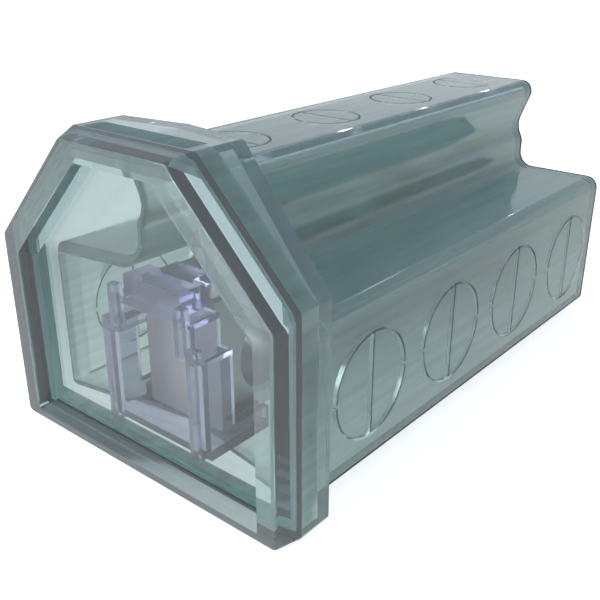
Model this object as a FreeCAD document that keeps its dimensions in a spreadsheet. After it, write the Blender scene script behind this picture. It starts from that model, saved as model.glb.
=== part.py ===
import FreeCAD, Part
import math
import os
import re
import Sketcher

# Insulated multi-tap connector: a clear housing with knock-outs, a clear front cover with a window,
# a metal bar with four wire ports and four set screws, and the two holders that seat the bar.
# Frame: +X to the right seen from the cover, +Y from the cover to the closed end, +Z up.
# The outlines are drawn with Y = 0 at the seam between skirt and cover, and the finished pieces
# are moved so that the origin lies under the middle of the whole object.

SIZES = {
    # wire ports and knock-outs
    "portPitch": 25.4,
    "portCount": 4,
    "sideKnockoutRadius": 9.85,
    "topKnockoutRadius": 6.6,
    "slit": 0.4,
    "bridge": 0.8,
    # housing: wiring box with a waisted head above it
    "wall": 2.0,
    "bodyHalf": 30.45,
    "bodyBottom": 2.73,
    "headGap": 0.3,
    "bulgeHalf": 10.6,
    "bulgeRise": 6.2,
    "neckInset": 1.7,
    "neckRise": 3.4,
    "crownFlare": 3.9,
    "crownRise": 10.42,
    "crownRadius": 2.5,
    "neckRadius": 5.0,
    "bulgeRadius": 3.0,
    "shoulderFillet": 3.3,
    "shoulderRadius": 2.6,
    "footRadius": 1.0,
    # flange: skirt with a plate behind it that runs back to a point in plan
    "sideOverhang": 2.85,
    "topOverhang": 4.2,
    "cornerReach": 7.87,
    "flangeTaper": 5.26,
    "plate": 2.3,
    "skirt": 1.6,
    "flangeRadius": 1.2,
    # front cover
    "coverProud": 4.5,
    "coverBevel": 1.2,
    "cornerBevel": 2.2,
    "coverRound": 0.5,
    "rimSide": 5.1,
    "rimBottom": 1.7,
    "rimUpper": 4.55,
    "rimCorner": 6.96,
    "rimDraft": 1.4,
    "recess": 3.15,
    "window": 1.9,
    "lipGap": 0.15,
    "lip": 1.4,
    "lipDepth": 3.5,
    "lipEndGap": 0.84,
    # connector bar and set screws
    "barHalf": 8.8,
    "barHeight": 24.8,
    "barFrontEnd": 13.3,
    "barBackEnd": 9.1,
    "barChamfer": 0.6,
    "portRise": 10.97,
    "portRadius": 7.0,
    "portChamfer": 0.8,
    "screwRadius": 6.35,
    "screwGap": 0.05,
    "screwLength": 12.4,
    "screwRaise": 0.4,
    "screwChamfer": 0.6,
    "screwTip": 1.5,
    "hexFlats": 7.94,
    "hexDepth": 6.5,
    # holders: heights are taken from the top of the bar, widths from its sides
    "seatGap": 0.1,
    "holderWall": 1.4,
    "frameReach": 3.8,
    "frameDepth": 5.7,
    "frameDrop": 1.83,
    "neckReach": 1.2,
    "stepDrop": 7.6,
    "beamInset": 2.0,
    "beamRise": 2.4,
    "legGap": 0.25,
    "legDepth": 1.7,
    "legReach": 2.6,
    "legWidth": 2.0,
    "legDrop": 6.0,
    "postReach": 0.3,
    "postRise": 0.6,
    "trayLength": 10.0,
    "railHeight": 4.3,
    "tongueHalf": 4.0,
    "tongueLength": 4.0,
    "rearPlate": 1.5,
    "rearTrayLength": 12.5,
    # how far a cut runs past the material
    "past": 1.0,
}

doc = FreeCAD.newDocument("MultiTapConnector")
sheet = doc.addObject("Spreadsheet::Sheet", "Sizes")
for row, (alias, value) in enumerate(SIZES.items(), start=1):
    sheet.set(f"A{row}", alias)
    sheet.set(f"B{row}", str(value))
    sheet.setAlias(f"B{row}", alias)
doc.recompute()

# Places along the object, from the back of the window to the closed end: the front holder stands
# behind the window, the bar behind the holder, and the rear holder fills the rest of the inside.
WINDOW_BACK = "(recess + window - coverProud)"
LEG_FRONT = f"({WINDOW_BACK} + legGap)"
FRAME_FRONT = f"({LEG_FRONT} + legDepth)"
FRAME_BACK = f"({FRAME_FRONT} + frameDepth)"
BAR_FRONT = f"({FRAME_BACK} + seatGap)"
FIRST_PORT = f"({BAR_FRONT} + barFrontEnd)"
LAST_PORT = f"({FIRST_PORT} + (portCount - 1) * portPitch)"
BAR_BACK = f"({LAST_PORT} + barBackEnd)"
INNER_END = f"({BAR_BACK} + 2 * seatGap + rearPlate)"
LENGTH = f"({INNER_END} + wall)"
# The place of the seam once the origin is under the middle of the whole object.
SEAM = f"((coverProud - {LENGTH}) / 2)"

# Heights: the trays rest on the floor, the bar on the trays, and the head rises from above the bar.
FLOOR = "(bodyBottom + wall)"
RAIL_TOP = f"({FLOOR} + railHeight)"
BAR_BOTTOM = f"({FLOOR} + holderWall + seatGap)"
BAR_TOP = f"({BAR_BOTTOM} + barHeight)"
PORT_HEIGHT = f"({BAR_BOTTOM} + portRise)"
SHOULDER = f"({BAR_TOP} + headGap + wall)"
BULGE = f"({SHOULDER} + bulgeRise)"
NECK = f"({BULGE} + neckRise)"
CROWN = f"({NECK} + crownRise)"

# Half widths of the head, and the flange that stands out round the box and the head.
NECK_HALF = "(bulgeHalf - neckInset)"
CROWN_HALF = f"({NECK_HALF} + crownFlare)"
FLANGE_HALF = "(bodyHalf + sideOverhang)"
FLANGE_TOP = f"({CROWN} + topOverhang)"
FLANGE_DIAGONAL = f"(bodyHalf + {SHOULDER} + cornerReach)"
HOLLOW_DEPTH = "(lipDepth + lipEndGap + flangeTaper)"


def size(expression):
    return float(sheet.evalExpression(expression))


def linked(expression):
    def with_sheet(word):
        return "Sizes." + word.group() if word.group() in SIZES else word.group()
    return re.sub(r"[A-Za-z]\w*", with_sheet, expression)


def sketch_on(body, name, role, offset="0"):
    plane = next(part for part in body.Origin.OriginFeatures if part.Role == role)
    sketch = body.newObject("Sketcher::SketchObject", name)
    sketch.AttachmentSupport = [(plane, "")]
    sketch.MapMode = "FlatFace"
    sketch.setExpression("AttachmentOffset.Base.z", linked(offset))
    return sketch


def lock(sketch, item, point, across, up):
    for kind, expression, axis in (("DistanceX", across, -2), ("DistanceY", up, -1)):
        if expression == "0":
            sketch.addConstraint(Sketcher.Constraint("PointOnObject", item, point, axis))
        else:
            held = Sketcher.Constraint(kind, -1, 1, item, point, size(expression))
            number = sketch.addConstraint(held)
            sketch.setExpression(f"Constraints[{number}]", linked(expression))


def outline(sketch, corners):
    first = sketch.GeometryCount
    points = [FreeCAD.Vector(size(across), size(up), 0) for across, up in corners]
    for start, end in zip(points, points[1:] + points[:1]):
        sketch.addGeometry(Part.LineSegment(start, end), False)
    for item in range(len(corners)):
        following = first + (item + 1) % len(corners)
        sketch.addConstraint(Sketcher.Constraint("Coincident", first + item, 2, following, 1))
    for item, (across, up) in enumerate(corners):
        lock(sketch, first + item, 1, across, up)


def rectangle(sketch, left, right, low, high):
    outline(sketch, [(left, low), (right, low), (right, high), (left, high)])


def circle(sketch, across, up, radius):
    centre = FreeCAD.Vector(size(across), size(up), 0)
    item = sketch.addGeometry(Part.Circle(centre, FreeCAD.Vector(0, 0, 1), size(radius)), False)
    lock(sketch, item, 3, across, up)
    number = sketch.addConstraint(Sketcher.Constraint("Radius", item, size(radius)))
    sketch.setExpression(f"Constraints[{number}]", linked(radius))


def symmetric(right_side):
    return right_side + [(f"-({across})", up) for across, up in reversed(right_side)]


def new_body(name):
    body = doc.addObject("PartDesign::Body", name)
    body.Label = name
    body.AllowCompound = True
    return body


def extrude(kind, body, name, sketch, length, backwards, side="One side"):
    feature = body.newObject(f"PartDesign::{kind}", name)
    feature.Profile = sketch
    feature.Reversed = backwards
    feature.SideType = side
    feature.setExpression("Length", linked(length))
    doc.recompute()
    return feature


def pad_back(body, name, corners, front, back):
    sketch = sketch_on(body, name + "Sketch", "XZ_Plane", f"-({front})")
    outline(sketch, corners)
    return extrude("Pad", body, name, sketch, f"({back}) - ({front})", True)


def pocket_front(body, name, corners, back, front):
    before = body.Shape.Volume
    sketch = sketch_on(body, name + "Sketch", "XZ_Plane", f"-({back})")
    outline(sketch, corners)
    feature = extrude("Pocket", body, name, sketch, f"({back}) - ({front})", True)
    if not body.Shape.Volume < before:
        raise ValueError(name + " removes nothing")
    return feature


def straight_edges(shape, direction, places, plane):
    found = []
    for number, edge in enumerate(shape.Edges, start=1):
        if len(edge.Vertexes) != 2:
            continue
        start, end = edge.Vertexes[0].Point, edge.Vertexes[1].Point
        if (end - start).getAngle(direction) % 3.14159 > 0.001:
            continue
        flat = [getattr(start, letter) for letter in plane]
        if any(max(abs(a - size(b)) for a, b in zip(flat, place)) < 0.001 for place in places):
            found.append(f"Edge{number}")
    return found


def fillet(body, feature, name, edges, radius):
    if not edges:
        raise ValueError(name + " has no edges")
    rounded = body.newObject("PartDesign::Fillet", name)
    rounded.Base = (feature, edges)
    rounded.setExpression("Radius", linked(radius))
    doc.recompute()
    return rounded


def round_along(body, feature, name, places, radius):
    edges = straight_edges(feature.Shape, FreeCAD.Vector(0, 1, 0), places, "xz")
    if len(edges) != len(places):
        raise ValueError(f"{name}: {len(edges)} edges for {len(places)} places")
    return fillet(body, feature, name, edges, radius)


def house(half, bottom, top, diagonal):
    return symmetric([(half, bottom), (half, f"{diagonal} - ({half})"), (f"{diagonal} - ({top})", top)])


def flange_outline(inset):
    return house(f"{FLANGE_HALF} - {inset}", inset, f"{FLANGE_TOP} - {inset}",
                 f"{FLANGE_DIAGONAL} - {inset} * sqrt(2)")


def flange_block(name, inset, depth):
    body = new_body(name)
    block = pad_back(body, name + "Block", flange_outline(inset), "0", depth)
    corners = flange_outline(inset)
    if inset == "0":
        round_along(body, block, name + "Rounds", corners, "flangeRadius")
    wedge = sketch_on(body, name + "WedgeSketch", "XY_Plane")
    side = f"({FLANGE_HALF} + past)"
    edge = f"({depth}) - flangeTaper * {side} / {FLANGE_HALF}"
    outline(wedge, [("0", depth), (side, edge), (side, f"({depth}) + past"),
                    (f"-{side}", f"({depth}) + past"), (f"-{side}", edge)])
    extrude("Pocket", body, name + "Wedge", wedge, f"{FLANGE_TOP} + past", True)
    return body


def body_profile(inset):
    taper = "(crownFlare / crownRise)"
    flare = "(neckInset / neckRise)"
    long_taper = f"sqrt(1 + {taper}^2)"
    long_flare = f"sqrt(1 + {flare}^2)"
    drop = f"({inset} * ({long_flare} - {long_taper}) / ({taper} + {flare}))"
    return symmetric([
        (f"bodyHalf - {inset}", f"bodyBottom + {inset}"),
        (f"bodyHalf - {inset}", f"{SHOULDER} - {inset}"),
        (f"bulgeHalf - {inset}", f"{SHOULDER} - {inset}"),
        (f"bulgeHalf - {inset}", f"{BULGE} - {inset} * ({long_flare} - 1) / {flare}"),
        (f"{NECK_HALF} - {taper} * {drop} - {inset} * {long_taper}", f"{NECK} - {drop}"),
        (f"{CROWN_HALF} - {inset} * ({taper} + {long_taper})", f"{CROWN} - {inset}"),
    ])


def profile_prism(name, inset, back):
    body = new_body(name)
    corners = body_profile(inset)
    feature = pad_back(body, name + "Pad", corners, "0", back)
    rounds = [
        ("Crown", 5, f"crownRadius - {inset}"),
        ("Neck", 4, f"neckRadius + {inset}"),
        ("Bulge", 3, f"bulgeRadius - {inset}"),
        ("ShoulderInner", 2, f"shoulderFillet + {inset}"),
        ("ShoulderOuter", 1, f"shoulderRadius - {inset}"),
    ]
    if inset == "0":
        rounds.append(("Foot", 0, "footRadius"))
    for title, place, radius in rounds:
        pair = [corners[place], corners[-1 - place]]
        feature = round_along(body, feature, name + title, pair, radius)
    return body


def combine(kind, name, shapes):
    result = doc.addObject(f"Part::{kind}", name)
    if kind == "Cut":
        result.Base, result.Tool = shapes
    else:
        result.Shapes = shapes
    doc.recompute()
    return result


def knockout(sketch, across, up, radius, turned):
    inner = f"{radius} - slit"
    outer_r, inner_r = size(radius), size(inner)
    half_bridge, half_slit = size("bridge / 2"), size("slit / 2")
    turn = math.pi / 2 if turned else 0.0
    half_turn = math.pi
    end_outer = math.asin(half_bridge / outer_r)
    end_inner = math.asin(half_bridge / inner_r)
    end_slit = math.acos(half_slit / inner_r)
    centre = FreeCAD.Vector(size(across), size(up), 0)

    def on_ring(ring, angle):
        return centre + FreeCAD.Vector(ring * math.cos(angle + turn), ring * math.sin(angle + turn), 0)

    def add_arc(ring, start, end):
        whole = Part.Circle(centre, FreeCAD.Vector(0, 0, 1), ring)
        return sketch.addGeometry(Part.ArcOfCircle(whole, start + turn, end + turn), False)

    def add_line(ring_from, angle_from, ring_to, angle_to):
        line = Part.LineSegment(on_ring(ring_from, angle_from), on_ring(ring_to, angle_to))
        return sketch.addGeometry(line, False)

    top = add_arc(outer_r, end_outer, half_turn - end_outer)
    low = add_arc(outer_r, half_turn + end_outer, 2 * half_turn - end_outer)
    quarters = [
        add_arc(inner_r, end_inner, end_slit),
        add_arc(inner_r, half_turn - end_slit, half_turn - end_inner),
        add_arc(inner_r, half_turn + end_inner, half_turn + end_slit),
        add_arc(inner_r, 2 * half_turn - end_slit, 2 * half_turn - end_inner),
    ]
    ends = [
        add_line(outer_r, half_turn - end_outer, inner_r, half_turn - end_inner),
        add_line(inner_r, half_turn + end_inner, outer_r, half_turn + end_outer),
        add_line(outer_r, -end_outer, inner_r, -end_inner),
        add_line(inner_r, end_inner, outer_r, end_outer),
    ]
    left = add_line(inner_r, half_turn - end_slit, inner_r, half_turn + end_slit)
    right = add_line(inner_r, -end_slit, inner_r, end_slit)

    joins = [
        (top, 2, ends[0], 1), (ends[0], 2, quarters[1], 2), (quarters[1], 1, left, 1),
        (left, 2, quarters[2], 2), (quarters[2], 1, ends[1], 1), (ends[1], 2, low, 1),
        (low, 2, ends[2], 1), (ends[2], 2, quarters[3], 2), (quarters[3], 1, right, 1),
        (right, 2, quarters[0], 2), (quarters[0], 1, ends[3], 1), (ends[3], 2, top, 1),
    ]
    for join in joins:
        sketch.addConstraint(Sketcher.Constraint("Coincident", *join))
    for arc in [low] + quarters:
        sketch.addConstraint(Sketcher.Constraint("Coincident", arc, 3, top, 3))
    lock(sketch, top, 3, across, up)
    sketch.addConstraint(Sketcher.Constraint("Equal", top, low))
    for arc in quarters[1:]:
        sketch.addConstraint(Sketcher.Constraint("Equal", quarters[0], arc))
    for arc, expression in ((top, radius), (quarters[0], inner)):
        number = sketch.addConstraint(Sketcher.Constraint("Radius", arc, size(expression)))
        sketch.setExpression(f"Constraints[{number}]", linked(expression))

    level, upright = ("Vertical", "Horizontal") if turned else ("Horizontal", "Vertical")
    rise, side = ("DistanceX", "DistanceY") if turned else ("DistanceY", "DistanceX")
    for line in ends:
        sketch.addConstraint(Sketcher.Constraint(level, line))
    for line in (left, right):
        sketch.addConstraint(Sketcher.Constraint(upright, line))
    above = [(top, 3, ends[0], 1), (top, 3, ends[3], 1)]
    below = [(ends[1], 1, top, 3), (ends[2], 1, top, 3)]
    if turned:
        above, below = [pair[2:] + pair[:2] for pair in above], [pair[2:] + pair[:2] for pair in below]
    held = [(rise, pair, "bridge / 2") for pair in above + below]
    held += [(side, (left, 1, top, 3), "slit / 2"), (side, (top, 3, right, 1), "slit / 2")]
    for kind, pair, expression in held:
        number = sketch.addConstraint(Sketcher.Constraint(kind, *pair, size(expression)))
        sketch.setExpression(f"Constraints[{number}]", linked(expression))


def repeat_at_ports(body, name, originals):
    pattern = body.newObject("PartDesign::LinearPattern", name)
    pattern.Originals = originals
    along = next(part for part in body.Origin.OriginFeatures if part.Role == "Y_Axis")
    pattern.Direction = (along, [""])
    pattern.setExpression("Length", linked("(portCount - 1) * portPitch"))
    pattern.setExpression("Occurrences", linked("portCount"))
    body.Tip = pattern
    doc.recompute()
    return pattern


def circle_edges(shape, axis, level, radius):
    found = []
    for number, edge in enumerate(shape.Edges, start=1):
        if not isinstance(edge.Curve, Part.Circle) or abs(edge.Curve.Radius - radius) > 0.001:
            continue
        if all(abs(getattr(vertex.Point, axis) - level) < 0.001 for vertex in edge.Vertexes):
            found.append(f"Edge{number}")
    return found


def chamfer(body, feature, name, edges, width):
    if not edges:
        raise ValueError(name + " has no edges")
    cut = body.newObject("PartDesign::Chamfer", name)
    cut.Base = (feature, edges)
    cut.setExpression("Size", linked(width))
    doc.recompute()
    return cut


def make_housing():
    flange = flange_block("flange", "0", f"{HOLLOW_DEPTH} + plate")
    hollow = flange_block("flange_hollow", "skirt", HOLLOW_DEPTH)
    outside = profile_prism("box_outside", "0", LENGTH)
    inside = profile_prism("box_inside", "wall", INNER_END)
    whole = combine("MultiFuse", "housing_whole", [flange, outside])
    spaces = combine("MultiFuse", "housing_spaces", [hollow, inside])
    shell = combine("Cut", "housing_shell", [whole, spaces])

    body = new_body("housing_body")
    body.BaseFeature = shell
    doc.recompute()
    before = body.Shape.Volume
    side_sketch = sketch_on(body, "SideKnockoutSketch", "YZ_Plane")
    knockout(side_sketch, FIRST_PORT, PORT_HEIGHT, "sideKnockoutRadius", False)
    across = "2 * (bodyHalf + past)"
    side = extrude("Pocket", body, "SideKnockout", side_sketch, across, False, "Symmetric")
    top_sketch = sketch_on(body, "TopKnockoutSketch", "XY_Plane", f"{CROWN} - wall - past")
    knockout(top_sketch, "0", FIRST_PORT, "topKnockoutRadius", True)
    top = extrude("Pocket", body, "TopKnockout", top_sketch, "wall + 2 * past", True)
    repeat_at_ports(body, "Knockouts", [side, top])
    if not body.Shape.Volume < before:
        raise ValueError("the knock-outs remove nothing")
    return body


def loft(kind, body, name, near, near_at, far, far_at):
    before = body.Shape.Volume if body.Tip else 0.0
    sections = []
    for part, corners, place in (("Near", near, near_at), ("Far", far, far_at)):
        sketch = sketch_on(body, name + part, "XZ_Plane", f"-({place})")
        outline(sketch, corners)
        sections.append(sketch)
    feature = body.newObject(f"PartDesign::{kind}", name)
    feature.Profile = sections[0]
    feature.Sections = [sections[1]]
    feature.Ruled = True
    doc.recompute()
    if body.Shape.Volume == before:
        raise ValueError(name + " changes nothing")
    return feature


def leaning_faces(shape, corners):
    found = []
    for number, face in enumerate(shape.Faces, start=1):
        across, along, up = (round(value) for value in face.normalAt(0, 0))
        if along == 0 and up >= 0 and (across != 0 and up != 0) == corners:
            found.append(f"Face{number}")
    return found


def slope(body, feature, name, inset, corners):
    before = body.Shape.Volume
    draft = body.newObject("PartDesign::Draft", name)
    draft.Base = (feature, leaning_faces(feature.Shape, corners))
    seam = next(part for part in body.Origin.OriginFeatures if part.Role == "XZ_Plane")
    draft.NeutralPlane = (seam, [""])
    doc.recompute()
    draft.setExpression("Angle", linked(f"atan({inset} / coverProud)"))
    doc.recompute()
    if not body.Shape.Volume < before:
        raise ValueError(name + " slopes nothing")
    return draft


def edges_at(shape, places):
    levels = sorted(size(place) for place in places)
    found = []
    for number, edge in enumerate(shape.Edges, start=1):
        ends = sorted(vertex.Y for vertex in edge.Vertexes)
        if all(abs(end - level) < 0.001 for end, level in zip(ends, levels)):
            found.append(f"Edge{number}")
    return found


def make_cover():
    body = new_body("front_cover")
    rim = pad_back(body, "Rim", flange_outline("0"), "-coverProud", "0")
    rim = slope(body, rim, "RimSlope", "coverBevel", False)
    rim = slope(body, rim, "CornerSlope", "cornerBevel", True)
    rim = fillet(body, rim, "RimCorners", edges_at(rim.Shape, ("0", "-coverProud")), "flangeRadius")
    fillet(body, rim, "RimFront", edges_at(rim.Shape, ("-coverProud", "-coverProud")), "coverRound")
    lip_outside = "(skirt + lipGap)"
    lip_inside = "(skirt + lipGap + lip)"
    pad_back(body, "Plug", flange_outline(lip_outside), "0", "lipDepth")
    pocket_front(body, "PlugHollow", flange_outline(lip_inside), "lipDepth", WINDOW_BACK)
    mouth = house(f"{FLANGE_HALF} - rimSide", "rimBottom", f"{FLANGE_TOP} - rimUpper",
                  f"{FLANGE_DIAGONAL} - rimCorner * sqrt(2)")
    floor = house(f"{FLANGE_HALF} - rimSide - rimDraft", "rimBottom + rimDraft",
                  f"{FLANGE_TOP} - rimUpper - rimDraft",
                  f"{FLANGE_DIAGONAL} - (rimCorner + rimDraft) * sqrt(2)")
    loft("SubtractiveLoft", body, "Recess", mouth, "-coverProud", floor, "recess - coverProud")
    return body


def make_bar():
    body = new_body("connector_bar")
    corners = symmetric([("barHalf", BAR_BOTTOM), ("barHalf", BAR_TOP)])
    bar = pad_back(body, "Bar", corners, BAR_FRONT, BAR_BACK)
    long_edges = straight_edges(bar.Shape, FreeCAD.Vector(0, 1, 0), corners, "xz")
    chamfer(body, bar, "LongEdges", long_edges, "barChamfer")
    port_sketch = sketch_on(body, "PortSketch", "YZ_Plane")
    circle(port_sketch, FIRST_PORT, PORT_HEIGHT, "portRadius")
    port = extrude("Pocket", body, "Port", port_sketch, "2 * (barHalf + past)", False, "Symmetric")
    tapped_sketch = sketch_on(body, "TappedSketch", "XY_Plane", PORT_HEIGHT)
    circle(tapped_sketch, "0", FIRST_PORT, "screwRadius + screwGap")
    tapped = extrude("Pocket", body, "Tapped", tapped_sketch, f"{BAR_TOP} - {PORT_HEIGHT} + past", True)
    pattern = repeat_at_ports(body, "Ports", [port, tapped])
    mouths = []
    for side in ("barHalf", "-barHalf"):
        mouths += circle_edges(pattern.Shape, "x", size(side), size("portRadius"))
    chamfer(body, pattern, "PortMouths", mouths, "portChamfer")
    return body


def make_screw(number):
    body = new_body(f"set_screw_{number}")
    round_sketch = sketch_on(body, f"Shank{number}Sketch", "XY_Plane")
    circle(round_sketch, "0", "0", "screwRadius")
    shank = extrude("Pad", body, f"Shank{number}", round_sketch, "screwLength", False)
    radius = size("screwRadius")
    tip = chamfer(body, shank, f"Tip{number}", circle_edges(shank.Shape, "z", 0, radius), "screwTip")
    top = circle_edges(tip.Shape, "z", size("screwLength"), radius)
    chamfer(body, tip, f"Top{number}", top, "screwChamfer")
    hex_sketch = sketch_on(body, f"Socket{number}Sketch", "XY_Plane", "screwLength")
    corner = "hexFlats / 2 / cos(30)"
    outline(hex_sketch, [(f"{corner} * cos({angle})", f"{corner} * sin({angle})")
                         for angle in range(30, 390, 60)])
    extrude("Pocket", body, f"Socket{number}", hex_sketch, "hexDepth", False)
    body.setExpression("Placement.Base.y", linked(f"{SEAM} + {FIRST_PORT} + {number - 1} * portPitch"))
    body.setExpression("Placement.Base.z", linked(f"{PORT_HEIGHT} + portRadius + screwRaise"))
    return body


def block(body, name, left, right, low, high, front, back):
    sketch = sketch_on(body, name + "Sketch", "XZ_Plane", f"-({front})")
    rectangle(sketch, left, right, low, high)
    return extrude("Pad", body, name, sketch, f"({back}) - ({front})", True)


def paired_blocks(body, name, inner, outer, low, high, front, back):
    sketch = sketch_on(body, name + "Sketch", "XZ_Plane", f"-({front})")
    rectangle(sketch, inner, outer, low, high)
    rectangle(sketch, f"-({outer})", f"-({inner})", low, high)
    return extrude("Pad", body, name, sketch, f"({back}) - ({front})", True)


def make_front_holder():
    body = new_body("bar_holder_front")
    frame = "(barHalf + frameReach)"
    neck = "(barHalf + neckReach)"
    beam = "(barHalf - beamInset)"
    step = f"({BAR_TOP} - stepDrop)"
    top = f"({BAR_TOP} - frameDrop)"
    pad_back(body, "FrontFrame", symmetric([
        (frame, FLOOR), (frame, step), (neck, step),
        (neck, top), (beam, top), (beam, f"{BAR_TOP} + beamRise"),
    ]), FRAME_FRONT, FRAME_BACK)
    pocket_front(body, "FrontOpening", symmetric([
        (f"{frame} - holderWall", f"{FLOOR} + holderWall"),
        (f"{frame} - holderWall", f"{step} - holderWall"),
        (f"{neck} - holderWall", f"{step} - holderWall"),
        (f"{neck} - holderWall", f"{top} - holderWall"),
    ]), FRAME_BACK, FRAME_FRONT)
    tray_back = f"({FRAME_BACK} + trayLength)"
    block(body, "FrontTray", f"-{frame}", frame, FLOOR, f"{FLOOR} + holderWall", FRAME_FRONT, tray_back)
    leg = "(barHalf + legReach)"
    leg_top = f"({BAR_TOP} - legDrop)"
    paired_blocks(body, "FrontLegs", f"{leg} - legWidth", leg, FLOOR, leg_top, LEG_FRONT, FRAME_FRONT)
    post = "(barHalf + postReach)"
    paired_blocks(body, "FrontPosts", f"{post} - legWidth", post, f"{leg_top} - legWidth",
                  f"{BAR_TOP} + postRise", LEG_FRONT, FRAME_FRONT)
    rail = "(barHalf + seatGap)"
    paired_blocks(body, "FrontInnerRails", rail, f"{rail} + holderWall", FLOOR, RAIL_TOP,
                  FRAME_BACK, tray_back)
    paired_blocks(body, "FrontOuterRails", f"{frame} - holderWall", frame, FLOOR, RAIL_TOP,
                  FRAME_BACK, tray_back)
    block(body, "FrontTongue", "-tongueHalf", "tongueHalf", f"{BAR_TOP} + seatGap",
          f"{BAR_TOP} + beamRise", FRAME_BACK, f"{FRAME_BACK} + tongueLength")
    return body


def make_rear_holder():
    body = new_body("bar_holder_rear")
    half = "(barHalf + seatGap + holderWall)"
    end = f"({INNER_END} - seatGap)"
    tray_front = f"({INNER_END} - rearTrayLength)"
    tongue_low = f"({BAR_TOP} + seatGap)"
    plate_front = f"({BAR_BACK} + seatGap)"
    block(body, "RearTray", f"-{half}", half, FLOOR, f"{FLOOR} + holderWall", tray_front, end)
    paired_blocks(body, "RearRails", "barHalf + seatGap", half, FLOOR, RAIL_TOP, tray_front, end)
    block(body, "RearPlate", f"-{half}", half, FLOOR, BAR_TOP, plate_front, end)
    block(body, "RearTongue", "-tongueHalf", "tongueHalf", tongue_low, f"{tongue_low} + holderWall",
          f"{LAST_PORT} + screwRadius + holderWall / 2", end)
    block(body, "RearNeck", "-tongueHalf", "tongueHalf", BAR_TOP, f"{tongue_low} + holderWall",
          plate_front, end)
    return body


pieces = [make_housing(), make_cover(), make_bar()]
pieces += [make_front_holder(), make_rear_holder()]
for piece in pieces:
    piece.setExpression("Placement.Base.y", linked(SEAM))
pieces += [make_screw(number) for number in range(1, SIZES["portCount"] + 1)]
doc.recompute()

for item in doc.Objects:
    if "Invalid" in item.State or "Error" in item.State:
        raise ValueError(f"{item.Label} failed: {item.State}")
for piece in pieces:
    if piece.Shape.isNull() or not piece.Shape.isValid():
        raise ValueError(f"{piece.Label} has no valid shape")

os.makedirs("parts", exist_ok=True)
for piece in pieces:
    piece.Shape.exportStep(f"parts/{piece.Label}.step")
    box = piece.Shape.BoundBox
    print(f"{piece.Label}: {len(piece.Shape.Solids)} solid, {piece.Shape.Volume / 1000:.2f} cm3, "
          f"x {box.XMin:.2f} to {box.XMax:.2f}, y {box.YMin:.2f} to {box.YMax:.2f}, "
          f"z {box.ZMin:.2f} to {box.ZMax:.2f}")
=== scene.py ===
import math
import bpy
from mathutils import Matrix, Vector


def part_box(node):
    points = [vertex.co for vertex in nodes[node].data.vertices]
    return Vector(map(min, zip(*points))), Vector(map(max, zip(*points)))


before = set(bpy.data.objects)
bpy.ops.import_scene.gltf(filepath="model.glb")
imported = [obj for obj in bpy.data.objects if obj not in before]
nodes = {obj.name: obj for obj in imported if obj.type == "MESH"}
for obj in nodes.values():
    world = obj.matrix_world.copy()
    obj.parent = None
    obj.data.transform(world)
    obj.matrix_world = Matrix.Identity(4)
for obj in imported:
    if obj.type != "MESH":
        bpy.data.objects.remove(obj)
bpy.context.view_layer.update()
print("frame loaded:", len(nodes), "nodes")

scene = bpy.context.scene
scene.view_settings.view_transform = "Standard"
# the walls are clear and lie one behind another, so light passes many surfaces
scene.cycles.max_bounces = 24
scene.cycles.transmission_bounces = 24
scene.cycles.glossy_bounces = 8


def hexColour(code):
    def linear(part):
        value = int(part, 16) / 255
        return value / 12.92 if value <= 0.04045 else ((value + 0.055) / 1.055) ** 2.4
    return tuple(linear(code[i:i + 2]) for i in (1, 3, 5)) + (1.0,)


# an input may be a value, a socket, or a node, whose first output is then taken
def addNode(tree, kind, inputs=None, stops=None, **settings):
    node = tree.nodes.new(kind)
    for key, value in settings.items():
        setattr(node, key, value)
    for key, value in (inputs or {}).items():
        if isinstance(value, bpy.types.Node):
            value = value.outputs[0]
        if isinstance(value, bpy.types.NodeSocket):
            tree.links.new(value, node.inputs[key])
        else:
            node.inputs[key].default_value = value
    if stops:
        elements = node.color_ramp.elements
        while len(elements) < len(stops):
            elements.new(0.5)
        for element, (position, colour) in zip(elements, stops):
            element.position = position
            element.color = colour
    return node


def newMaterial(name):
    material = bpy.data.materials.new(name)
    material.use_nodes = True
    tree = material.node_tree
    tree.nodes.clear()
    output = addNode(tree, "ShaderNodeOutputMaterial")
    return material, tree, output


def dress(nodeName, material):
    node = nodes[nodeName]
    node.data.materials.clear()
    node.data.materials.append(material)


# a pattern's sizes are given in millimetres, and its scale is how often it repeats in a metre
def repeats(sizes):
    return tuple(1000 / size for size in sizes)


# camera at the photograph's place: 40 degrees round to the right, 23.8 degrees up
view = {"place": (0.09848, -0.13113, 0.08533), "azimuth": 40.0, "elevation": 23.8,
        "lens": 50.0, "sensor": 36.0}
bpy.ops.object.select_all(action="DESELECT")
turn = (math.radians(90 - view["elevation"]), 0, math.radians(view["azimuth"]))
bpy.ops.object.camera_add(location=view["place"], rotation=turn)
camera = bpy.context.object
camera.data.lens = view["lens"]
camera.data.sensor_width = view["sensor"]
camera.data.clip_start = 0.005
scene.camera = camera
print("camera placed")


# place on a piece in metres: across from the middle, along, up, and up the sloping shoulder
def measures(tree):
    place = addNode(tree, "ShaderNodeTexCoord").outputs["Object"]
    apart = addNode(tree, "ShaderNodeSeparateXYZ", {"Vector": place})
    across = addNode(tree, "ShaderNodeMath", {0: apart.outputs["X"]}, operation="ABSOLUTE")
    slant = addNode(tree, "ShaderNodeMath", {0: across, 1: apart.outputs["Z"]}, operation="ADD")
    return {"place": place, "across": across, "along": apart.outputs["Y"], "up": apart.outputs["Z"],
            "slant": slant}


rampHeight = 0.06  # a little over the connector's height


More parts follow.
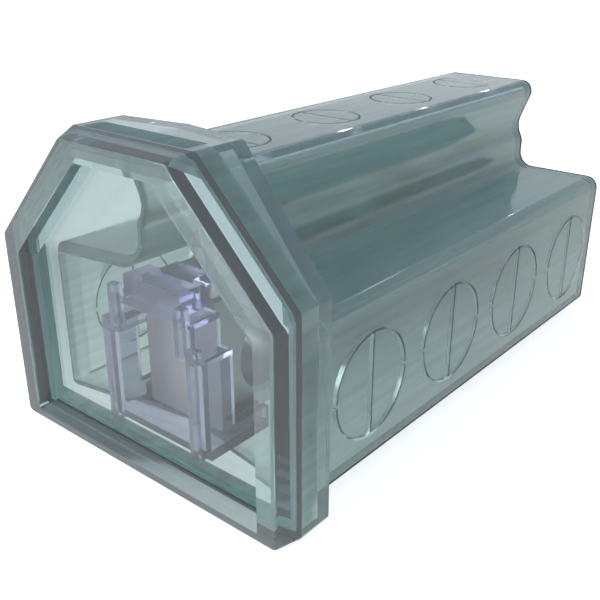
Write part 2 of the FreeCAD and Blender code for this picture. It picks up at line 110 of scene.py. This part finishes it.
def byHeight(tree, at, tones):
    height = addNode(tree, "ShaderNodeMath", {0: at["up"], 1: 1 / rampHeight}, operation="MULTIPLY")
    stops = [(up / rampHeight, hexColour(tone) if isinstance(tone, str) else (tone, tone, tone, 1))
             for up, tone in tones]
    return addNode(tree, "ShaderNodeValToRGB", {"Fac": height}, stops=stops)


# faces of the mouldings in metres, from the frame where it gives them
housingLow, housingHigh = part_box("housing_body")
halfWidth = housingHigh.x
rearFace = housingHigh.y
seam = housingLow.y  # the cover's back lies on the flange's front here
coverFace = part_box("front_cover")[0].y
wall = 0.0020
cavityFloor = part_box("bar_holder_front")[0].z  # the holders stand on it
bodyBottom = cavityFloor - wall
bodyHalf = 0.03045
skirt = 0.0016  # the flange's rim, which goes round the cover's lip
socketBottom = seam + 0.00434
flangeRear = seam + 0.00905  # the side walls stand clear of the flange behind this
shoulderLine = 0.07165  # across and up added together, on the flange's sloping shoulders
recess = 0.00315  # depth of the window in its rim
paneDepth = 0.0019
margin = 0.0001  # a limit stands about this far off the faces that it takes in

# The inner faces, edges and window of the clear mouldings are found from their place. A box is a set of
# limits, and its profile is a half width by height.
limitTests = {"widest": ("across", "LESS_THAN"), "profile": ("across", "LESS_THAN"),
              "narrowest": ("across", "GREATER_THAN"), "slant": ("slant", "LESS_THAN"),
              "lowest": ("up", "GREATER_THAN"), "highest": ("up", "LESS_THAN"),
              "front": ("along", "GREATER_THAN"), "rear": ("along", "LESS_THAN")}
profileUnit = 0.04  # a ramp holds 0 to 1, so half widths are stored as shares of this


def within(tree, at, boxes):
    whole = None
    for box in boxes:
        part = None
        for name, limit in box.items():
            measure, kind = limitTests[name]
            if name == "profile":
                share = byHeight(tree, at, [(up, half / profileUnit) for up, half in limit])
                limit = addNode(tree, "ShaderNodeMath", {0: share, 1: profileUnit}, operation="MULTIPLY")
            test = addNode(tree, "ShaderNodeMath", {0: at[measure], 1: limit}, operation=kind)
            if part:
                test = addNode(tree, "ShaderNodeMath", {0: part, 1: test}, operation="MULTIPLY")
            part = test
        if whole:
            part = addNode(tree, "ShaderNodeMath", {0: whole, 1: part}, operation="MAXIMUM")
        whole = part
    return whole


flowSpan = (0.35, 0.65)  # nearly all of a noise's values lie between these
flowDepth = 0.0002  # height of the streaks in metres, at a bump of 1
grainDepth = 0.00005  # the same for the metals' grain


# the melt flowed along the mould, which left faint streaks: a tone times 1 less or more the share
def withStreaks(tree, tone, flow, share):
    strength = addNode(tree, "ShaderNodeMapRange", {
        "Value": flow, "From Min": flowSpan[0], "From Max": flowSpan[1],
        "To Min": 1 - share, "To Max": 1 + share})
    return addNode(tree, "ShaderNodeVectorMath", {0: tone, "Scale": strength}, operation="SCALE")


# where the cover's back lies on the flange's front, no light crosses clearly between the two
contactPlane = [{"front": seam - margin, "rear": seam + margin, "widest": halfWidth - 2 * margin,
                 "slant": shoulderLine - 0.00055, "lowest": 4 * margin}]


# Clear plastic: a polished outer skin, frosted inner faces that pass light on, and a tint in its depth
def clearPlastic(name, look):
    material, tree, output = newMaterial(name)
    at = measures(tree)
    drawn = addNode(tree, "ShaderNodeMapping", {
        "Vector": at["place"], "Scale": repeats(look["streakSize"])})
    flow = addNode(tree, "ShaderNodeTexNoise", {
        "Vector": drawn, "Scale": 1.0, "Detail": 3.0, "Roughness": 0.55})
    colour = withStreaks(tree, byHeight(tree, at, look["skin"]), flow, look["skinStreak"])
    rough = withStreaks(tree, byHeight(tree, at, look["polish"]), flow, look["sheenStreak"])
    clear = look["clear"]
    glow = None
    if "inside" in look:
        inside = within(tree, at, look["inside"])
        lining = withStreaks(tree, byHeight(tree, at, look["lining"]), flow, look["liningStreak"])
        if "mottle" in look:
            mottle = look["mottle"]
            spread = addNode(tree, "ShaderNodeMapping", {
                "Vector": at["place"], "Scale": repeats(mottle["size"])})
            clouds = addNode(tree, "ShaderNodeTexNoise", {"Vector": spread, "Scale": 1.0, "Detail": 2.0})
            patches = addNode(tree, "ShaderNodeMapRange", {
                "Value": clouds, "From Min": mottle["from"], "From Max": mottle["full"]})
            band = within(tree, at, mottle["where"])
            share = addNode(tree, "ShaderNodeMath", {0: patches, 1: band}, operation="MULTIPLY")
            lining = addNode(tree, "ShaderNodeMix", {
                0: share, 6: lining, 7: hexColour(mottle["colour"])}, data_type="RGBA").outputs[2]
        colour = addNode(tree, "ShaderNodeMix", {
            0: inside, 6: colour, 7: lining}, data_type="RGBA").outputs[2]
        rough = addNode(tree, "ShaderNodeMapRange", {
            "Value": inside, "To Min": rough, "To Max": look["frost"]})
        clear = addNode(tree, "ShaderNodeMapRange", {
            "Value": inside, "To Min": clear, "To Max": byHeight(tree, at, look["through"])})
        touch = within(tree, at, contactPlane)
        clear = addNode(tree, "ShaderNodeMapRange", {"Value": touch, "To Min": clear, "To Max": 0.0})
        colour = addNode(tree, "ShaderNodeMix", {
            0: touch, 6: colour, 7: hexColour(look["contact"])}, data_type="RGBA").outputs[2]
        # light from the window brightens the inner faces near it
        front = addNode(tree, "ShaderNodeMath", {0: at["along"], 1: flangeRear}, operation="LESS_THAN")
        passed = addNode(tree, "ShaderNodeMapRange", {
            "Value": front, "To Min": look["glow"], "To Max": look["frontGlow"]})
        glow = addNode(tree, "ShaderNodeMath", {0: inside, 1: passed}, operation="MULTIPLY")
    if "window" in look:
        pane = within(tree, at, look["window"])
        colour = addNode(tree, "ShaderNodeMix", {
            0: pane, 6: colour, 7: hexColour(look["pane"])}, data_type="RGBA").outputs[2]
        rough = addNode(tree, "ShaderNodeMapRange", {"Value": pane, "To Min": rough, "To Max": 0.0})
        clear = addNode(tree, "ShaderNodeMapRange", {"Value": pane, "To Min": clear, "To Max": 1.0})
        rest = addNode(tree, "ShaderNodeMath", {0: 1.0, 1: pane}, operation="SUBTRACT")
        glow = addNode(tree, "ShaderNodeMath", {0: glow, 1: rest}, operation="MULTIPLY")
    bump = addNode(tree, "ShaderNodeBump", {
        "Height": flow, "Strength": look["bump"], "Distance": flowDepth})
    surface = addNode(tree, "ShaderNodeBsdfPrincipled", {
        "Base Color": colour, "Roughness": rough, "IOR": look["ior"], "Transmission Weight": clear,
        "Normal": bump})
    if glow:
        lit = addNode(tree, "ShaderNodeBsdfTranslucent", {"Color": lining})
        surface = addNode(tree, "ShaderNodeMixShader", {0: glow, 1: surface, 2: lit})
    # painted shade: a dark matt colour mixed in along the listed edges, where refraction would darken the
    # clear plastic
    if "edges" in look:
        paintedShadeLine = addNode(tree, "ShaderNodeBsdfDiffuse", {"Color": hexColour(look["edge"])})
        share = addNode(tree, "ShaderNodeMath", {
            0: within(tree, at, look["edges"]), 1: look["paintedShadeShare"]}, operation="MULTIPLY")
        surface = addNode(tree, "ShaderNodeMixShader", {0: share, 1: surface, 2: paintedShadeLine})
    depth = addNode(tree, "ShaderNodeVolumeAbsorption", {
        "Color": hexColour(look["tint"]), "Density": look["density"]})
    tree.links.new(surface.outputs[0], output.inputs["Surface"])
    tree.links.new(depth.outputs["Volume"], output.inputs["Volume"])
    return material


# In the three sets of values below, skin, lining, polish and through are given by height in metres.
# Through is how clearly the inner faces pass light, and glow is the share that they scatter inwards.

# Polycarbonate, moulded in a mould with grained cores: glossy and smoke teal outside, milky within. The
# eye sees soft flow streaks 1.7 mm wide and 40 mm long. Dark lines where the walls end are painted shade,
# standing in for the darkening that refraction gives there. Olive patches 3 mm wide and 22 mm long lie in
# the neck.
housing = {
    # painted shade: the skin is darker towards the top of the side walls, and lighter at their foot and
    # from the shoulder up
    "skin": ((0.003, "#EAF5F3"), (0.030, "#B8C8C6"), (0.0335, "#E6F1F0")),
    "lining": ((0.0, "#D6EFEA"), (0.058, "#C4DEDC")),
    "through": ((0.0047, 0.95), (0.0055, 0.85), (0.030, 0.80), (0.034, 0.60), (0.050, 0.55)),
    "polish": ((0.046, 0.12), (0.051, 0.05)), "frost": 0.35, "clear": 0.88,
    "streakSize": (1.667, 40, 1.667), "skinStreak": 0.03, "sheenStreak": 0.3, "liningStreak": 0.12,
    "mottle": {"colour": "#A3AF86", "size": (3.333, 22.22, 3.333), "from": 0.45, "full": 0.75,
               "where": [{"lowest": 0.033, "highest": 0.043}]},
    "glow": 0.32, "frontGlow": 0.6, "bump": 0.02, "ior": 1.5, "tint": "#62B4BC", "density": 65.0,
    "edge": "#4A575B", "paintedShadeShare": 0.9, "contact": "#B4CFCC",
    # the cavity, then the socket that takes the cover's lip
    "inside": [
        {"profile": ((0.0, 0.02855), (0.0312, 0.0286), (0.0315, 0.0284), (0.0322, 0.0120), (0.0340, 0.0096),
                     (0.0360, 0.0088), (0.0390, 0.0088), (0.0410, 0.0079), (0.0430, 0.0076),
                     (0.0450, 0.0078), (0.0500, 0.0096), (0.0513, 0.0099), (0.0516, 0.0)),
         "lowest": cavityFloor - 2 * margin, "rear": rearFace - wall + margin,
         "front": socketBottom - margin},
        {"widest": halfWidth - skirt + margin, "slant": shoulderLine - skirt * math.sqrt(2) + margin,
         "lowest": skirt - 2 * margin, "rear": socketBottom + margin, "front": seam + margin / 2}],
    # painted shade: dark lines along the outline of the rear end, then along the foot of the side walls
    "edges": [{"front": rearFace - 0.00075, "rear": rearFace - margin / 2},
              {"highest": bodyBottom + 0.00107, "narrowest": bodyHalf - 0.00165, "front": flangeRear}]}
dress("housing_body", clearPlastic("moulded_polycarbonate_smoke_teal", housing))

# Polycarbonate, moulded in a polished mould: the same tint, with a brighter gloss and a water-clear pane.
# Its flow streaks are 3.3 mm wide and 25 mm high.
cover = {
    "skin": ((0.0, "#E2EDED"), (0.058, "#DEE9E9")), "lining": ((0.0, "#CCE6E2"), (0.058, "#BCD4D2")),
    "through": ((0.0, 0.6), (0.058, 0.55)), "polish": ((0.0, 0.035), (0.058, 0.025)),
    "frost": 0.3, "clear": 0.86,
    "streakSize": (3.333, 3.333, 25), "skinStreak": 0.03, "sheenStreak": 0.3, "liningStreak": 0.18,
    "glow": 0.45, "frontGlow": 0.6, "bump": 0.0, "ior": 1.5, "tint": "#62B4BC", "density": 60.0,
    "edge": "#5A7B79", "paintedShadeShare": 0.3, "contact": "#DDEEEC", "pane": "#F7FAFA",
    "inside": [{"front": seam - 1.5 * margin, "widest": halfWidth - margin,
                "slant": shoulderLine - 0.00035, "lowest": 2 * margin}],
    # painted shade: a dark line along the cover's foot
    "edges": [{"highest": 3 * margin}],
    "window": [{"widest": 0.0290, "slant": 0.0680, "lowest": 0.0020, "highest": 0.0530,
                "front": coverFace + recess - 1.5 * margin,
                "rear": coverFace + recess + paneDepth + 1.5 * margin}]}
dress("front_cover", clearPlastic("polished_polycarbonate_smoke_teal", cover))

# Acrylic, moulded and left glossy: clear with a lavender cast in its depth, and clouds of tone 3.3 mm wide
holder = {
    "skin": ((0.0, "#DADAEC"), (0.058, "#E2E2F0")), "polish": ((0.0, 0.07), (0.058, 0.05)), "clear": 0.86,
    "streakSize": (3.333, 3.333, 3.333), "skinStreak": 0.04, "sheenStreak": 0.3, "bump": 0.0,
    "ior": 1.45, "tint": "#9A9CCC", "density": 80.0}
holderPlastic = clearPlastic("moulded_acrylic_lavender", holder)
dress("bar_holder_front", holderPlastic)
dress("bar_holder_rear", holderPlastic)
print("plastics made")


# Metal: an even sheen with fine grain
def grainedMetal(name, look):
    material, tree, output = newMaterial(name)
    place = addNode(tree, "ShaderNodeTexCoord").outputs["Object"]
    drawn = addNode(tree, "ShaderNodeMapping", {"Vector": place, "Scale": repeats(look["grainSize"])})
    grain = addNode(tree, "ShaderNodeTexNoise", {
        "Vector": drawn, "Scale": 1.0, "Detail": 4.0, "Roughness": 0.6})
    dark, light = look["colours"]
    colour = addNode(tree, "ShaderNodeMix", {
        0: grain, 6: hexColour(dark), 7: hexColour(light)}, data_type="RGBA").outputs[2]
    smooth, dull = look["rough"]
    rough = addNode(tree, "ShaderNodeMapRange", {"Value": grain, "To Min": smooth, "To Max": dull})
    bump = addNode(tree, "ShaderNodeBump", {
        "Height": grain, "Strength": look["bump"], "Distance": grainDepth})
    shader = addNode(tree, "ShaderNodeBsdfPrincipled", {
        "Base Color": colour, "Metallic": 1.0, "Roughness": rough, "Normal": bump})
    tree.links.new(shader.outputs["BSDF"], output.inputs["Surface"])
    return material


# Aluminium, drawn and tin-plated: satin grey, with drawing lines 0.125 mm wide and 6.7 mm long
bar = {"colours": ("#BDB8BE", "#D6D1D5"), "rough": (0.36, 0.52), "bump": 0.25,
       "grainSize": (0.125, 6.667, 0.125)}
dress("connector_bar", grainedMetal("tin_plated_aluminium", bar))
# Aluminium, turned and tin-plated: brighter, with rings 0.11 mm apart from the turning tool
screw = {"colours": ("#B9BBBF", "#D2D3D6"), "rough": (0.25, 0.38), "bump": 0.2,
         "grainSize": (0.4, 0.4, 0.1111)}
screwMetal = grainedMetal("tin_plated_machined_screw", screw)
for index in range(1, 5):
    dress(f"set_screw_{index}", screwMetal)
print("metals made")

# Floor: white matt paper that keeps the shadow, and reads white through the clear plastic. It lies 0.2 mm
# under the connector, so that the two don't share a surface.
ground = {"size": 6, "drop": 0.0002, "colour": "#F8F9F9", "lift": 0.7}
bpy.ops.object.select_all(action="DESELECT")
bpy.ops.mesh.primitive_plane_add(size=ground["size"], location=(0, 0, -ground["drop"]))
floor = bpy.context.object
floor.name = "floor"
paper, tree, output = newMaterial("white_paper_backdrop")
path = addNode(tree, "ShaderNodeLightPath")
matt = addNode(tree, "ShaderNodeBsdfDiffuse", {"Color": hexColour(ground["colour"])})
white = addNode(tree, "ShaderNodeEmission", {"Color": hexColour("#FFFFFF"), "Strength": 1.0})
throughPlastic = addNode(tree, "ShaderNodeMath", {
    0: path.outputs["Is Glossy Ray"], 1: path.outputs["Is Transmission Ray"]}, operation="MAXIMUM")
sheet = addNode(tree, "ShaderNodeMixShader", {0: throughPlastic, 1: matt, 2: white})
toCamera = addNode(tree, "ShaderNodeMath", {
    0: path.outputs["Is Camera Ray"], 1: ground["lift"]}, operation="MULTIPLY")
lift = addNode(tree, "ShaderNodeEmission", {"Color": hexColour("#FFFFFF"), "Strength": toCamera})
both = addNode(tree, "ShaderNodeAddShader", {0: sheet, 1: lift})
tree.links.new(both.outputs["Shader"], output.inputs["Surface"])
floor.data.materials.append(paper)

# studio: white to the camera; for the light a dome, white at the horizon and blue-grey overhead
studio = {"dome": ((0.0, "#FFFFFF"), (0.35, "#C6CDD6"), (0.85, "#A9B6C4")), "strength": 1.0}
world = bpy.data.worlds.new("studio")
scene.world = world
world.use_nodes = True
tree = world.node_tree
tree.nodes.clear()
output = addNode(tree, "ShaderNodeOutputWorld")
apart = addNode(tree, "ShaderNodeSeparateXYZ", {
    "Vector": addNode(tree, "ShaderNodeTexCoord").outputs["Generated"]})
overhead = addNode(tree, "ShaderNodeValToRGB", {"Fac": apart.outputs["Z"]},
                   stops=[(height, hexColour(code)) for height, code in studio["dome"]])
dome = addNode(tree, "ShaderNodeBackground", {"Color": overhead, "Strength": studio["strength"]})
plain = addNode(tree, "ShaderNodeBackground", {"Color": hexColour("#FFFFFF"), "Strength": 1.0})
seen = addNode(tree, "ShaderNodeLightPath").outputs["Is Camera Ray"]
either = addNode(tree, "ShaderNodeMixShader", {0: seen, 1: dome, 2: plain})
tree.links.new(either.outputs["Shader"], output.inputs["Surface"])

softboxLook = {"place": (-0.25, -0.55, 0.30), "aim": (0, 0, 0.03), "size": 0.5, "power": 3.0}
bpy.ops.object.select_all(action="DESELECT")
bpy.ops.object.light_add(type="AREA", location=softboxLook["place"])
softbox = bpy.context.object
softbox.name = "front_softbox"
softbox.data.shape = "SQUARE"
softbox.data.size = softboxLook["size"]
softbox.data.energy = softboxLook["power"]
away = Vector(softboxLook["aim"]) - softbox.location
softbox.rotation_euler = away.to_track_quat("-Z", "Y").to_euler()

# three small lamps 1 m behind the connector: their mirror images are the bright points on the crown.
# A point is a place on the crown, and the direction from there to its lamp.
crownLamps = {"power": 0.6, "radius": 0.007, "cone": 1.4, "blend": 0.2,
              "points": (((0.0109, -0.0145, 0.0533), (-0.400, 0.781, 0.479)),
                         ((0.0108, 0.0110, 0.0533), (-0.394, 0.836, 0.382)),
                         ((0.0108, 0.0365, 0.0533), (-0.349, 0.874, 0.338)))}
for place, towards in crownLamps["points"]:
    bpy.ops.object.select_all(action="DESELECT")
    bpy.ops.object.light_add(type="SPOT", location=Vector(place) + Vector(towards))
    lamp = bpy.context.object
    lamp.data.energy = crownLamps["power"]
    lamp.data.shadow_soft_size = crownLamps["radius"]
    lamp.data.spot_size = math.radians(crownLamps["cone"])
    lamp.data.spot_blend = crownLamps["blend"]
    lamp.rotation_euler = (-Vector(towards)).to_track_quat("-Z", "Y").to_euler()
print("stage set")
